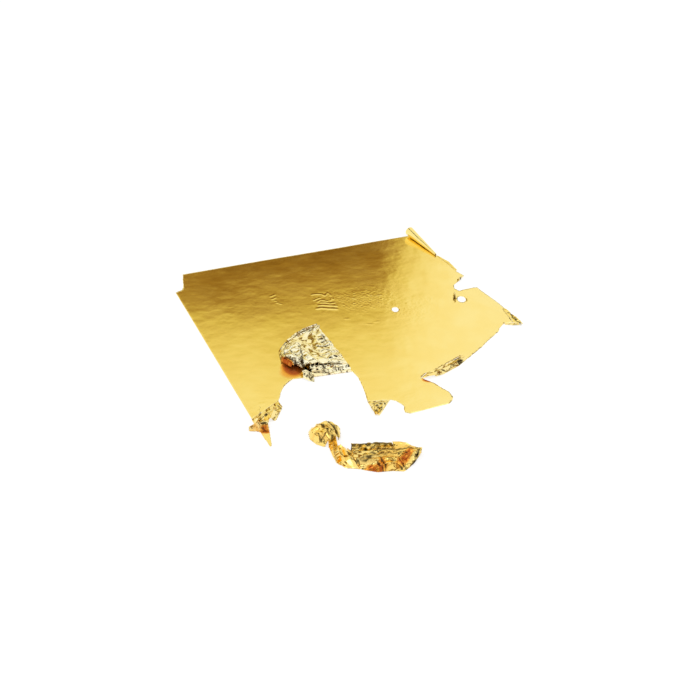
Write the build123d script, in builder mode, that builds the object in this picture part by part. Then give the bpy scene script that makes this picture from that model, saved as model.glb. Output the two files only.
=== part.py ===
"""A torn square of metal leaf lying flat, with the scrap that came off it.

The leaf's own corner-to-corner square is centred on the origin, its underside is on Z = 0,
X runs along its far edge and Y points away from the viewer. The foil is one skin: every
fold, pleat, curl or turned-up lip between two creases is a solid of its own.
"""

import os

from build123d import *

os.makedirs("parts", exist_ok=True)

# The sheet
leaf_side = 140.0
foil = 0.15
half_side = leaf_side / 2
# Running gap beside a crease that still moves, and hairline gap beside one that doesn't
crease_gap = foil / 2
seam_gap = 0.1

# Heights of the crumples that stay on the sheet
corner_height = 2.0
tent_height = 2.5
hem_height = 0.4
hem_start_width = 0.4
lip_height = 0.9
mouth_height = 2.0
ridge_height = 1.7
tab_height = 1.4
tail_height = 3.8

# Small curls and pin holes
curl_radius = 0.75
curl_length = 5.5
curl_taper_share = 0.6
curl_angle = 260
lowest_angle = -90
notch_curl_angle = 36
pinhole_curl_angle = 62
small_hole = 4.4
large_hole = 5.6
hole_slimness_share = 0.72
hole_angle = 60

# The tongue that is folded back over the sheet
flap_reach = 36.0
flap_height = 3.9
flap_front_height = 1.9
flap_tip_height = 1.5
ruffle_height = 2.6
back_hem_height = 1.3
flap_clearance = 0.3

# The edge that is rolled into a cone
roll_inset = 4.0
roll_length = 25.4
roll_radius = 2.4
roll_small_radius = 0.55
roll_angle = 235
inner_turn_share = 0.7
inner_start_angle = 160
inner_angle = 240

# The loose scrap
scrap_length = 36.0
scrap_depth = 35.0
head_height = 4.9
band_gap = 0.12
neck_height = 3.4
belly_height = 1.7
pleats_height = 3.4
pleats_clearance = 0.35
front_folds_height = 2.9
scrap_tip_height = 3.2


def on_sheet(share):
    """A place on the table, from shares of half the sheet's side."""
    return Vector(share[0] * half_side, share[1] * half_side)


# Outline of the flat field, clockwise from the notch in its far left corner
left_notch_shares = [(-1, 0.773), (-0.95, 0.794), (-0.93, 0.83), (-0.905, 0.925), (-0.883, 1)]
right_edge_shares = [
    (0.961, 0.509),
    (0.957, 0.381),
    (0.976, 0.293),
    (0.897, 0.237),
    (0.84, 0.204),
    (0.815, 0.16),
    (0.83, 0.117),
    (0.88, 0.121),
    (0.947, 0.121),
    (0.976, 0.116),
    (0.977, 0.077),
    (0.99, -0.031),
    (1, -0.131),
    (1, -0.2),
]
point_inner_shares = [(0.983, -0.205), (0.965, -0.314), (0.953, -0.37), (0.89, -0.362)]
front_tear_shares = [
    (0.831, -0.401),
    (0.793, -0.44),
    (0.697, -0.493),
    (0.599, -0.554),
    (0.511, -0.6),
    (0.446, -0.636),
]
ridge_back_shares = [(0.429, -0.589), (0.176, -0.677), (0.123, -0.68), (0.07, -0.714)]
front_tab_shares = [
    (0.116, -0.786),
    (0.137, -0.85),
    (0.156, -0.9),
    (0.153, -0.951),
    (0.127, -0.983),
    (0.099, -1),
    (-0.157, -1),
    (-0.179, -0.98),
    (-0.169, -0.949),
    (-0.157, -0.927),
    (-0.163, -0.9),
    (-0.176, -0.864),
    (-0.199, -0.844),
]
tab_root_shares = [(-0.207, -0.843), (-0.333, -0.811)]
arch_right_shares = [(-0.333, -0.811), (-0.3, -0.69), (-0.28, -0.577)]
crease_shares = [(-0.286, -0.503), (-0.593, -0.461)]
arch_left_shares = [(-0.646, -0.451), (-0.70, -0.482), (-0.78, -0.584)]
corner_root_shares = [(-0.803, -0.617), (-1, -0.721)]
small_hole_share = (0.293, 0.048)
large_hole_share = (0.786, 0.01)
notch_curl_share = (0.925, 0.262)
pinhole_curl_share = (0.755, 0.055)
scrap_centre_share = (-0.514, -1.179)

# The flap swings about a line along the sheet's own torn edge
crease_right = on_sheet(crease_shares[0])
crease_left = on_sheet(crease_shares[1])
crease_run = (crease_right - crease_left).normalized()
crease_back = Vector(-crease_run.Y, crease_run.X)
crease_length = (crease_right - crease_left).length

# The roll swings about a line along the sheet's right edge
roll_axis_x = half_side - roll_inset
roll_start_y = half_side - roll_length


def on_flap(share):
    """A place beside the crease: shares of its length, and of the flap's reach behind it."""
    return crease_left + crease_run * share[0] * crease_length + crease_back * share[1] * flap_reach


scrap_centre = on_sheet(scrap_centre_share)


def on_scrap(share):
    """A place on the scrap: shares of its length and of its depth, from its middle."""
    return scrap_centre + Vector(share[0] * scrap_length, share[1] * scrap_depth)


def standing(start, end):
    """An upright plane whose X runs from start to end and whose Y points up."""
    run = (end - start).normalized()
    return Plane(origin=start, x_dir=run, z_dir=Vector(run.Y, -run.X, 0))


def folded(place, stations, across_shares, height, base=0):
    """A creased ply of foil: a zigzag of the given lifts at each station, joined by flat facets."""
    with BuildPart() as ply:
        for start_share, end_share, lift_shares in stations:
            start, end = place(start_share), place(end_share)
            width = (end - start).length
            under = [(a * width, base + lift * height) for a, lift in zip(across_shares, lift_shares)]
            over = [(x, z + foil) for x, z in reversed(under)]
            with BuildSketch(standing(start, end)):
                with BuildLine():
                    Polyline(*under, *over, close=True)
                make_face()
        loft(ruled=True)
    return ply


def keep(sub_part, name):
    """Label a finished ply and write it."""
    sub_part.part.label = name
    export_step(sub_part.part, f"parts/{name}.step")
    print(name, round(sub_part.part.volume, 1), "cubic millimetres")


# The flat field, cut back beside the two creases that move
crease_set_back = crease_back * (foil / 2 + crease_gap)
with BuildPart() as leaf_field:
    with BuildSketch():
        with BuildLine():
            Polyline(
                *[on_sheet(s) for s in left_notch_shares],
                (roll_axis_x - foil / 2 - crease_gap, half_side),
                (roll_axis_x - foil / 2 - crease_gap, roll_start_y),
                (roll_axis_x + foil / 2, roll_start_y),
                *[on_sheet(s) for s in right_edge_shares],
                *[on_sheet(s) for s in point_inner_shares],
                *[on_sheet(s) for s in front_tear_shares],
                *[on_sheet(s) for s in ridge_back_shares],
                *[on_sheet(s) for s in front_tab_shares],
                *[on_sheet(s) for s in tab_root_shares],
            )
            ThreePointArc(
                on_sheet(tab_root_shares[-1]), on_sheet(arch_right_shares[1]), on_sheet(arch_right_shares[2])
            )
            Polyline(
                on_sheet(arch_right_shares[2]),
                crease_right + crease_set_back,
                crease_left + crease_set_back,
                on_sheet(arch_left_shares[0]),
            )
            ThreePointArc(*[on_sheet(s) for s in arch_left_shares])
            Polyline(
                on_sheet(arch_left_shares[-1]),
                *[on_sheet(s) for s in corner_root_shares],
                on_sheet(left_notch_shares[0]),
            )
        make_face()
        for place_share, length in [(small_hole_share, small_hole), (large_hole_share, large_hole)]:
            with Locations(on_sheet(place_share)):
                Ellipse(length / 2, length * hole_slimness_share / 2, hole_angle, mode=Mode.SUBTRACT)
    extrude(amount=foil)
keep(leaf_field, "leaf_field")

# Front left corner: pleats fan out from the field and gather towards the corner
corner_across_shares = [0, 0.14, 0.28, 0.42, 0.57, 0.72, 0.86, 1]
corner_pleats_shares = [
    ((-1, -0.723), (-0.803, -0.619), [0, 0.02, 0, 0.02, 0, 0.02, 0, 0.02]),
    ((-1.003, -0.744), (-0.809, -0.69), [0.1, 0.6, 0.1, 0.8, 0.1, 0.7, 0.2, 0.4]),
    ((-1, -0.77), (-0.88, -0.778), [0.2, 1, 0.3, 0.9, 0.2, 1, 0.3, 0.1]),
]
corner_pleats = folded(on_sheet, corner_pleats_shares, corner_across_shares, corner_height)
keep(corner_pleats, "corner_pleats")

# The pocket beside them, a roof of foil that stands over the sheet's left edge
corner_tent_shares = [
    ((-1.042, -0.784), (-1.05, -0.814), [0.05, 0.25, 0.3, 0.2, 0]),
    ((-1.004, -0.779), (-1.018, -0.829), [0.2, 0.7, 0.9, 0.5, 0]),
    ((-0.93, -0.785), (-0.955, -0.852), [0.3, 0.9, 1, 0.7, 0.1]),
]
corner_tent_across_shares = [0, 0.3, 0.5, 0.75, 1]
corner_tent = folded(on_sheet, corner_tent_shares, corner_tent_across_shares, tent_height, foil + seam_gap)
keep(corner_tent, "corner_tent")

# What is left of the sheet's own corner, a narrow point that starts under the pocket
corner_spike_shares = [(-0.997, -0.8), (-0.937, -0.81), (-0.98, -0.97), (-0.99, -0.98)]
with BuildPart() as corner_spike:
    with BuildSketch():
        with BuildLine():
            Polyline(*[on_sheet(s) for s in corner_spike_shares], close=True)
        make_face()
    extrude(amount=foil)
keep(corner_spike, "corner_spike")

# Right edge: a thin hem, then a curl beside the notch
hem_start = Vector(roll_axis_x + foil / 2 + seam_gap, roll_start_y - seam_gap)
hem_start_share = (hem_start.X / half_side, hem_start.Y / half_side)
hem_corner_share = ((hem_start.X + hem_start_width) / half_side, hem_start.Y / half_side)
side_hem_shares = [
    (hem_start_share, hem_corner_share, [0, 0.3, 0.2]),
    ((0.963, 0.509), (0.981, 0.512), [0, 1, 0.5]),
    ((0.959, 0.381), (0.975, 0.383), [0, 0.4, 0.1]),
]
side_hem_across_shares = [0, 0.55, 1]
side_hem = folded(on_sheet, side_hem_shares, side_hem_across_shares, hem_height)
keep(side_hem, "side_hem")


def curved_foil(centre, size, start_angle, sweep_angle):
    """Both faces of a bent strip of foil, each in two arcs so that neither passes a half circle."""
    outer_near = CenterArc(centre, size, start_angle, sweep_angle / 2)
    outer_far = CenterArc(centre, size, start_angle + sweep_angle / 2, sweep_angle / 2)
    inner_near = CenterArc(centre, size - foil, start_angle, sweep_angle / 2)
    inner_far = CenterArc(centre, size - foil, start_angle + sweep_angle / 2, sweep_angle / 2)
    Line(outer_far @ 1, inner_far @ 1)
    return outer_near @ 0, inner_near @ 0


def curl(middle_share, lie_angle):
    """A small open curl that lies on the sheet along its own axis and is drawn in at its far end."""
    middle = on_sheet(middle_share)
    run = Vector(1, 0).rotate(Axis.Z, lie_angle)
    with BuildPart() as ring:
        for along_share, size in [(-1, curl_radius), (1, curl_radius * curl_taper_share)]:
            place = middle + run * along_share * curl_length / 2 + Vector(0, 0, foil + size)
            with BuildSketch(Plane(origin=place, x_dir=(run.Y, -run.X, 0), z_dir=run)):
                with BuildLine():
                    outer_end, inner_end = curved_foil((0, 0), size, lowest_angle, curl_angle)
                    Line(outer_end, inner_end)
                make_face()
        loft(ruled=True)
    return ring


notch_curl = curl(notch_curl_share, notch_curl_angle)
keep(notch_curl, "notch_curl")
pinhole_curl = curl(pinhole_curl_share, pinhole_curl_angle)
keep(pinhole_curl, "pinhole_curl")

# The right hand point is turned up along both of its margins
point_lip_shares = [
    ((0.985, -0.207), (1, -0.204), [0, 0.15, 0.2]),
    ((0.967, -0.314), (0.997, -0.318), [0, 0.4, 1]),
    ((0.956, -0.372), (0.995, -0.425), [0, 0.2, 0.6]),
]
point_lip_across_shares = [0, 0.5, 1]
point_lip = folded(on_sheet, point_lip_shares, point_lip_across_shares, lip_height)
keep(point_lip, "point_lip")

point_front_lip_shares = [
    ((0.889, -0.364), (0.884, -0.38), [0, 0.2, 0.1]),
    ((0.92, -0.368), (0.928, -0.405), [0, 0.5, 0.3]),
    ((0.951, -0.374), (0.986, -0.428), [0, 0.3, 0.5]),
]
point_front_lip_across_shares = [0, 0.5, 1]
point_front_lip = folded(on_sheet, point_front_lip_shares, point_front_lip_across_shares, lip_height)
keep(point_front_lip, "point_front_lip")

# Over the short tear the sheet lifts into a lip, and a crumpled ridge runs on from there
tear_mouth_shares = [
    ((0.073, -0.714), (0.075, -0.722), [0, 0.1, 0.05, 0.1]),
    ((0.1, -0.697), (0.108, -0.735), [0, 0.5, 0.8, 0.6]),
    ((0.125, -0.682), (0.152, -0.742), [0, 0.9, 1, 0.7]),
]
tear_mouth_across_shares = [0, 0.4, 0.75, 1]
tear_mouth = folded(on_sheet, tear_mouth_shares, tear_mouth_across_shares, mouth_height)
keep(tear_mouth, "tear_mouth")

tear_ridge_shares = [
    ((0.13, -0.685), (0.158, -0.741), [0, 0.7, 0.3, 0.9, 0.4, 0.3]),
    ((0.178, -0.681), (0.215, -0.731), [0, 0.9, 0.4, 1, 0.3, 0.1]),
    ((0.33, -0.628), (0.353, -0.684), [0, 0.8, 0.2, 0.9, 0.4, 0]),
    ((0.428, -0.591), (0.444, -0.634), [0, 0.2, 0, 0.3, 0.1, 0]),
]
tear_ridge_across_shares = [0, 0.25, 0.45, 0.65, 0.85, 1]
tear_ridge = folded(on_sheet, tear_ridge_shares, tear_ridge_across_shares, ridge_height)
keep(tear_ridge, "tear_ridge")

tab_crumple_shares = [
    ((-0.333, -0.813), (-0.207, -0.845), [0, 0.02, 0, 0.02, 0, 0.02]),
    ((-0.342, -0.87), (-0.24, -0.875), [0.4, 0.1, 1, 0.2, 0.8, 0]),
    ((-0.348, -0.945), (-0.327, -0.952), [0.3, 0.1, 0.5, 0.1, 0.3, 0]),
]
tab_crumple_across_shares = [0, 0.2, 0.4, 0.6, 0.8, 1]
tab_crumple = folded(on_sheet, tab_crumple_shares, tab_crumple_across_shares, tab_height)
keep(tab_crumple, "tab_crumple")

# A tail of foil stands at the left end of the crease and hangs over the gap
tail_end_share = 0.2
crease_tail_shares = [
    ((0, 0.075), (0.02, -0.02), [0, 0.5, 0.75, 0.6, 0.1]),
    ((0.08, 0.06), (0.09, -0.07), [0.2, 0.85, 1, 0.7, 0.05]),
    ((tail_end_share, 0.03), (tail_end_share, -0.105), [0.1, 0.35, 0.6, 0.35, 0]),
]
crease_tail_across_shares = [0, 0.3, 0.5, 0.75, 1]
crease_tail = folded(on_flap, crease_tail_shares, crease_tail_across_shares, tail_height, foil)
keep(crease_tail, "crease_tail")

# The folded-back flap: pleats that stand up from the crease, then a broad creased face, then its tip
tail_gap_share = 0.02
front_end_share = 0.14
flap_front_pleats_shares = [
    (tail_end_share + tail_gap_share, [0.7, 0.4, 1, 0.6, 1, 0.7, 1]),
    (0.45, [0.4, 0.1, 0.8, 0.2, 1, 0.3, 0.8]),
    (0.73, [0.3, 0, 0.6, 0.1, 0.7, 0.1, 0.6]),
    (0.985, [0.1, 0, 0.3, 0, 0.3, 0.1, 0.2]),
]
wall = foil / 2
front_reach = front_end_share * flap_reach
flap_rest = foil + flap_clearance
with BuildPart() as flap_front_pleats:
    for along_share, lift_shares in flap_front_pleats_shares:
        start, end = on_flap((along_share, 0)), on_flap((along_share, front_end_share))
        step = (front_reach - wall) / (len(lift_shares) - 1)
        under = [(wall + n * step, flap_rest + lift * flap_front_height) for n, lift in enumerate(lift_shares)]
        over = [(x, z + foil) for x, z in reversed(under[1:])]
        with BuildSketch(standing(start, end)):
            with BuildLine():
                Polyline((wall, 0), *under, *over, (-wall, under[0][1] + foil), (-wall, 0), close=True)
            make_face()
    loft(ruled=True)
keep(flap_front_pleats, "flap_front_pleats")

flap_across_shares = [0, 0.1, 0.22, 0.33, 0.44, 0.56, 0.68, 0.8, 0.9, 1]
flap_face_shares = [
    ((0.06, 0.145), (0.985, 0.145), [0.45, 0.9, 0.7, 0.8, 0.5, 0.6, 0.35, 0.4, 0.15, 0.1]),
    ((-0.03, 0.233), (0.98, 0.233), [0.5, 1, 0.75, 0.9, 0.5, 0.65, 0.3, 0.45, 0.2, 0]),
    ((-0.165, 0.39), (0.955, 0.39), [0.5, 0.7, 0.6, 1, 0.55, 0.5, 0.25, 0.45, 0.1, 0.05]),
    ((-0.13, 0.555), (0.91, 0.555), [0.4, 0.6, 0.8, 0.45, 0.5, 0.25, 0.4, 0.15, 0.3, 0]),
    ((0.06, 0.72), (0.87, 0.72), [0.3, 0.2, 0.45, 0.2, 0.3, 0.1, 0.25, 0.05, 0.2, 0]),
]
flap_face = folded(on_flap, flap_face_shares, flap_across_shares, flap_height, flap_rest)
keep(flap_face, "flap_face")

flap_tip_shares = [
    ((0.07, 0.726), (0.865, 0.726), [0.6, 0.4, 0.9, 0.3, 0.6, 0.2, 0.4, 0]),
    ((0.265, 0.845), (0.815, 0.875), [0.6, 0.2, 0.6, 0.1, 0.5, 0.1, 0.3, 0]),
    ((0.5, 0.955), (0.8, 0.985), [0.3, 0.1, 0.4, 0, 0.2, 0.1, 0.2, 0]),
    ((0.81, 1.05), (0.85, 1.06), [0.2, 0.1, 0.2, 0.1, 0.15, 0.05, 0.1, 0]),
]
flap_tip_across_shares = [0, 0.15, 0.3, 0.45, 0.6, 0.75, 0.9, 1]
flap_tip = folded(on_flap, flap_tip_shares, flap_tip_across_shares, flap_tip_height, flap_rest)
keep(flap_tip, "flap_tip")

flap_ruffle_shares = [
    ((-0.04, 0.24), (-0.12, 0.222), [0.7, 0.5, 0.8, 0.3]),
    ((-0.175, 0.39), (-0.255, 0.375), [0.7, 0.3, 0.7, 0.1]),
    ((-0.14, 0.56), (-0.22, 0.59), [0.6, 0.2, 0.5, 0]),
    ((0.04, 0.72), (-0.03, 0.755), [0.4, 0.1, 0.3, 0]),
]
flap_ruffle_across_shares = [0, 0.35, 0.7, 1]
flap_ruffle = folded(
    on_flap, flap_ruffle_shares, flap_ruffle_across_shares, ruffle_height, foil + flap_clearance
)
keep(flap_ruffle, "flap_ruffle")

flap_back_hem_shares = [
    ((0.06, 0.745), (-0.01, 0.775), [0.6, 1, 0.3]),
    ((0.25, 0.86), (0.205, 0.895), [0.6, 1, 0.2]),
    ((0.49, 0.97), (0.475, 1), [0.3, 0.8, 0.1]),
    ((0.8, 1.065), (0.8, 1.085), [0.2, 0.4, 0.1]),
]
flap_back_hem_across_shares = [0, 0.5, 1]
flap_back_hem = folded(
    on_flap, flap_back_hem_shares, flap_back_hem_across_shares, back_hem_height, foil + flap_clearance
)
keep(flap_back_hem, "flap_back_hem")


def roll_radius_at(share):
    """The cone's radius, from its small end at 0 to the sheet's far edge at 1."""
    return roll_small_radius + (roll_radius - roll_small_radius) * share


def roll_section(y_share):
    """The plane across the cone at a share of its length, looking back along the roll."""
    start = Vector(roll_axis_x, roll_start_y + seam_gap + y_share * (roll_length - seam_gap))
    return Plane(origin=start, x_dir=(1, 0, 0), z_dir=(0, -1, 0))


def roll_centre(y_share):
    """The middle of the cone there: its outer turn clears the sheet and ends over the moving crease."""
    return wall - roll_radius_at(y_share), roll_radius_at(y_share) + foil + seam_gap


# The rolled edge: a wall that stands on the moving crease and curls over towards the field
with BuildPart() as edge_roll:
    for y_share in (0, 1):
        with BuildSketch(roll_section(y_share)):
            with BuildLine():
                outer_end, inner_end = curved_foil(roll_centre(y_share), roll_radius_at(y_share), 0, roll_angle)
                Polyline(outer_end, (wall, 0), (-wall, 0), inner_end)
            make_face()
    loft(ruled=True)
keep(edge_roll, "edge_roll")

with BuildPart() as roll_inner_turn:
    for y_share in (1 - inner_turn_share, 1):
        size = roll_radius_at(y_share) - foil - seam_gap
        with BuildSketch(roll_section(y_share)):
            with BuildLine():
                outer_end, inner_end = curved_foil(roll_centre(y_share), size, inner_start_angle, inner_angle)
                Line(outer_end, inner_end)
            make_face()
    loft(ruled=True)
keep(roll_inner_turn, "roll_inner_turn")

# The scrap: a crumpled dome for a head, and a band of foil that wraps over it
head_shares = [
    ((-0.48, 0.45), (-0.29, 0.54), [0.1, 0.3, 0.4, 0.3, 0.45, 0.3, 0.2, 0.1]),
    ((-0.5, 0.35), (-0.2, 0.47), [0, 0.6, 0.7, 0.85, 0.75, 0.9, 0.6, 0.2]),
    ((-0.47, 0.25), (-0.16, 0.34), [0, 0.65, 0.9, 0.8, 1, 0.85, 0.7, 0.2]),
    ((-0.41, 0.18), (-0.21, 0.23), [0, 0.3, 0.5, 0.4, 0.6, 0.5, 0.3, 0.1]),
]
head_across_shares = [0, 0.1, 0.25, 0.4, 0.55, 0.7, 0.88, 1]
scrap_head = folded(on_scrap, head_shares, head_across_shares, head_height)
keep(scrap_head, "scrap_head")

band_start = 4
band_start_share = head_across_shares[band_start]
band_across_shares = [(a - band_start_share) / (1 - band_start_share) for a in head_across_shares[band_start:]]
band_shares = []
for near_share, far_share, lift_shares in head_shares:
    edge_share = [n + (f - n) * band_start_share for n, f in zip(near_share, far_share)]
    band_shares.append((edge_share, far_share, lift_shares[band_start:]))
scrap_head_band = folded(on_scrap, band_shares, band_across_shares, head_height, foil + band_gap)
keep(scrap_head_band, "scrap_head_band")

# Its neck, a ribbon that stands on edge
neck_side = Vector(foil, foil / 2)
neck_shares = [(-0.315, 0.185), (-0.345, 0.1), (-0.38, 0), (-0.4, -0.11)]
neck_line = [on_scrap(s) for s in neck_shares]
with BuildPart() as scrap_neck:
    with BuildSketch():
        with BuildLine():
            Polyline(*neck_line, *[p + neck_side for p in reversed(neck_line)], close=True)
        make_face()
    extrude(amount=neck_height)
keep(scrap_neck, "scrap_neck")

scrap_belly_shares = [
    ((-0.3, 0.1), (-0.25, 0.09), [0.8, 1, 0.9, 1, 0.7]),
    ((-0.35, 0), (-0.22, -0.03), [0.3, 0.8, 0.5, 1, 0.6]),
    ((-0.385, -0.12), (-0.22, -0.16), [0.1, 0.6, 0.4, 0.8, 0.7]),
    ((-0.34, -0.22), (-0.22, -0.28), [0, 0.1, 0, 0.1, 0]),
]
scrap_belly_across_shares = [0, 0.25, 0.5, 0.75, 1]
scrap_belly = folded(on_scrap, scrap_belly_shares, scrap_belly_across_shares, belly_height)
keep(scrap_belly, "scrap_belly")

scrap_pleats_shares = [
    ((-0.18, 0.03), (-0.21, -0.14), [0.8, 1, 0.7, 0.9, 0.5, 0.7, 0.3, 0.5, 0.3]),
    ((0.01, -0.04), (-0.03, -0.22), [0.9, 1, 0.6, 0.9, 0.5, 0.8, 0.4, 0.6, 0.4]),
    ((0.23, -0.11), (0.21, -0.28), [0.7, 0.8, 0.5, 0.8, 0.5, 0.7, 0.4, 0.6, 0.5]),
]
scrap_pleats_across_shares = [0, 0.12, 0.25, 0.38, 0.5, 0.62, 0.75, 0.88, 1]
scrap_pleats = folded(
    on_scrap, scrap_pleats_shares, scrap_pleats_across_shares, pleats_height, pleats_clearance
)
keep(scrap_pleats, "scrap_pleats")

scrap_front_folds_shares = [
    ((-0.205, -0.15), (-0.205, -0.3), [0.5, 0.8, 0.2, 0.3, 0]),
    ((-0.03, -0.23), (-0.07, -0.4), [0.7, 0.9, 0.2, 0.5, 0]),
    ((0.085, -0.255), (0.08, -0.44), [0.8, 1, 0.5, 0.9, 0]),
    ((0.2, -0.29), (0.18, -0.49), [0.8, 0.5, 0.8, 0.3, 0]),
]
scrap_front_folds_across_shares = [0, 0.25, 0.5, 0.75, 1]
scrap_front_folds = folded(
    on_scrap, scrap_front_folds_shares, scrap_front_folds_across_shares, front_folds_height
)
keep(scrap_front_folds, "scrap_front_folds")

scrap_tip_shares = [
    ((0.24, -0.1), (0.19, -0.49), [0.9, 0.8, 0.2, 0.5, 0]),
    ((0.37, -0.17), (0.34, -0.42), [0.8, 0.9, 0.3, 0.8, 0.3]),
    ((0.5, -0.265), (0.475, -0.32), [0.5, 0.6, 0.5, 0.6, 0.5]),
]
scrap_tip_across_shares = [0, 0.25, 0.5, 0.75, 1]
scrap_tip = folded(on_scrap, scrap_tip_shares, scrap_tip_across_shares, scrap_tip_height)
keep(scrap_tip, "scrap_tip")
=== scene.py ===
# %% [markdown]
# # A torn square of metal leaf
# The real thing is a single skin of gold-coloured leaf, thinner than a hair, that lies flat on a
# table. It is torn along two sides, one tongue of it is folded back over the sheet, one edge has
# rolled itself into a cone, and a crumpled scrap lies in front. The solids that this scene starts
# from hold the true places of all that, but as smooth facets. Here each of them gets a skin of
# foil with its wrinkles, creases and ragged tears, and the finish of burnished leaf.

# %% Load the solids
import math

import bmesh
import bpy
import numpy as np
from mathutils import Matrix, Vector
from mathutils.bvhtree import BVHTree
from mathutils.geometry import delaunay_2d_cdt
from mathutils.kdtree import KDTree


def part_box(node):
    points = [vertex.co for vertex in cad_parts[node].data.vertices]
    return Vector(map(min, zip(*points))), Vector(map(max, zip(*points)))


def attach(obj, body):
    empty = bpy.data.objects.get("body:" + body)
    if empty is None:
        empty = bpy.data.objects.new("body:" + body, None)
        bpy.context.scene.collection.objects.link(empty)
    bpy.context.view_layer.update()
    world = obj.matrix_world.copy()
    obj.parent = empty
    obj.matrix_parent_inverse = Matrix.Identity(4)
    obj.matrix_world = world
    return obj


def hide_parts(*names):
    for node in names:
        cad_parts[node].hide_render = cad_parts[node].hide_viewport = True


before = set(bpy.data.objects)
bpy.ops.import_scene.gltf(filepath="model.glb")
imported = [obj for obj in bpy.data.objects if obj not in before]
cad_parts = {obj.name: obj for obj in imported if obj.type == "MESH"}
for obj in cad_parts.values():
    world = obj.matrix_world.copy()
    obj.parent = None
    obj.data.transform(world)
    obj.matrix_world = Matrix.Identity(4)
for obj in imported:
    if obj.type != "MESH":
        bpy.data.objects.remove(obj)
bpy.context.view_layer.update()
mm = 0.001

# %% [markdown]
# ## Camera
# The sheet's own corners and straight edges fix the camera: only one place, aim and lens make a
# true square look as it does in the photograph. The camera looks down at about 33 degrees, is
# turned a little about its own axis, and needs no lens shift.

# %% Camera
camera_place = Vector((-0.1643, -0.3169, 0.2187))
camera_forward = Vector((0.37783, 0.7455, -0.54907))
camera_right = Vector((0.90451, -0.42387, 0.0469))
camera_lens = 47.15


def in_scene(name, data):
    """A new object of the scene."""
    made = bpy.data.objects.new(name, data)
    bpy.context.scene.collection.objects.link(made)
    return made


camera_data = bpy.data.cameras.new("camera")
camera_data.lens = camera_lens
camera = in_scene("camera", camera_data)
camera_up = camera_right.cross(camera_forward)
turn = Matrix((camera_right, camera_up, -camera_forward)).transposed()
camera.matrix_world = Matrix.Translation(camera_place) @ turn.to_4x4()
bpy.context.scene.camera = camera
bpy.context.scene.view_settings.view_transform = "Standard"
print("camera is", round(camera_place.length / mm), "mm from the middle of the sheet")

# %% [markdown]
# ## Shader maths
# Every finish below mixes a few noises by adding, scaling and comparing them. Written as Math
# nodes that is long and hard to read, so one small class stands for a socket and lets Python's
# own operators add the nodes. Any other node comes from one method.


# %% Shader maths
class Wire:
    """A socket that can stand in a sum: each operator adds its Math node."""

    def __init__(self, tree, socket):
        self.tree = tree
        self.socket = socket

    def math(self, operation, first, second):
        node = self.tree.node("ShaderNodeMath", {"operation": operation}, {0: first, 1: second})
        return node.out(0)

    def __add__(self, other):
        return self.math("ADD", self, other)

    def __radd__(self, other):
        return self.math("ADD", other, self)

    def __sub__(self, other):
        return self.math("SUBTRACT", self, other)

    def __rsub__(self, other):
        return self.math("SUBTRACT", other, self)

    def __mul__(self, other):
        return self.math("MULTIPLY", self, other)

    def __rmul__(self, other):
        return self.math("MULTIPLY", other, self)

    def larger(self, other):
        return self.math("MAXIMUM", self, other)


class Node:
    """A node of a finish, whose outputs come as wires."""

    def __init__(self, tree, made):
        self.tree = tree
        self.made = made

    def out(self, name):
        return Wire(self.tree, self.made.outputs[name])


class Finish:
    """A node tree of a material or of the world, emptied and ready for nodes."""

    def __init__(self, owner):
        owner.use_nodes = True
        self.owner = owner
        self.nodes = owner.node_tree.nodes
        self.links = owner.node_tree.links
        self.nodes.clear()

    def node(self, kind, settings=None, sockets=None):
        made = self.nodes.new(kind)
        for name, value in (settings or {}).items():
            if name == "stops":
                self.set_stops(made.color_ramp, value)
            else:
                setattr(made, name, value)
        for name, value in (sockets or {}).items():
            if isinstance(value, Wire):
                self.links.new(value.socket, made.inputs[name])
            else:
                made.inputs[name].default_value = value
        return Node(self, made)

    def set_stops(self, ramp, stops):
        while len(ramp.elements) < len(stops):
            ramp.elements.new(1)
        for element, (place, colour) in zip(ramp.elements, stops):
            element.position = place
            element.color = (*colour, 1)


# %% [markdown]
# ## Table
# The leaf lies on a plain white table that is lost in the white of the photograph. The table is a
# pale matt floor that also gives off a little light to the camera and to the metal, so it comes
# out white, and the foil's own soft shadow still shows where it lifts.

# %% Table
floor_size = 6.0
floor_drop = 0.05 * mm
floor_grey = 0.35
floor_glow = 0.7


def seen_straight(finish):
    """1 for rays that come from the camera, from metal or through glass, and 0 for the others."""
    path = finish.node("ShaderNodeLightPath")
    return path.out("Is Camera Ray").larger(path.out("Is Glossy Ray")).larger(path.out("Is Transmission Ray"))


floor_finish = Finish(bpy.data.materials.new("table_white"))
matt = floor_finish.node("ShaderNodeBsdfDiffuse", None, {"Color": (floor_grey, floor_grey, floor_grey, 1)})
glow = floor_finish.node(
    "ShaderNodeEmission", None, {"Color": (1, 1, 1, 1), "Strength": seen_straight(floor_finish) * floor_glow}
)
both = floor_finish.node("ShaderNodeAddShader", None, {0: matt.out(0), 1: glow.out(0)})
floor_finish.node("ShaderNodeOutputMaterial", None, {"Surface": both.out(0)})

bpy.ops.mesh.primitive_plane_add(size=floor_size, location=(0, 0, -floor_drop))
floor = bpy.context.object
floor.name = "table"
floor.data.materials.append(floor_finish.owner)
print("table", floor_size, "m across,", round(floor_drop / mm, 2), "mm below the leaf")

# %% [markdown]
# ## Studio
# Metal leaf has hardly any colour of its own: what it shows is its gold tint times whatever it
# mirrors. So the light is a plain white surround, and what makes the leaf look as it does in the
# photograph is what stands around it. A tall card behind it is dark brown below and fades to
# white above, which gives the brown band along the far edge. A few narrow dark cards all round
# give the creases their dark lines, and two lamps give them white sparks. The cards are seen
# only in the metal.

# %% Surround
world_finish = Finish(bpy.data.worlds.new("white_surround"))
bpy.context.scene.world = world_finish.owner
surround = world_finish.node("ShaderNodeBackground", None, {"Color": (1, 1, 1, 1), "Strength": 1.0})
world_finish.node("ShaderNodeOutputWorld", None, {"Surface": surround.out(0)})


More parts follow.
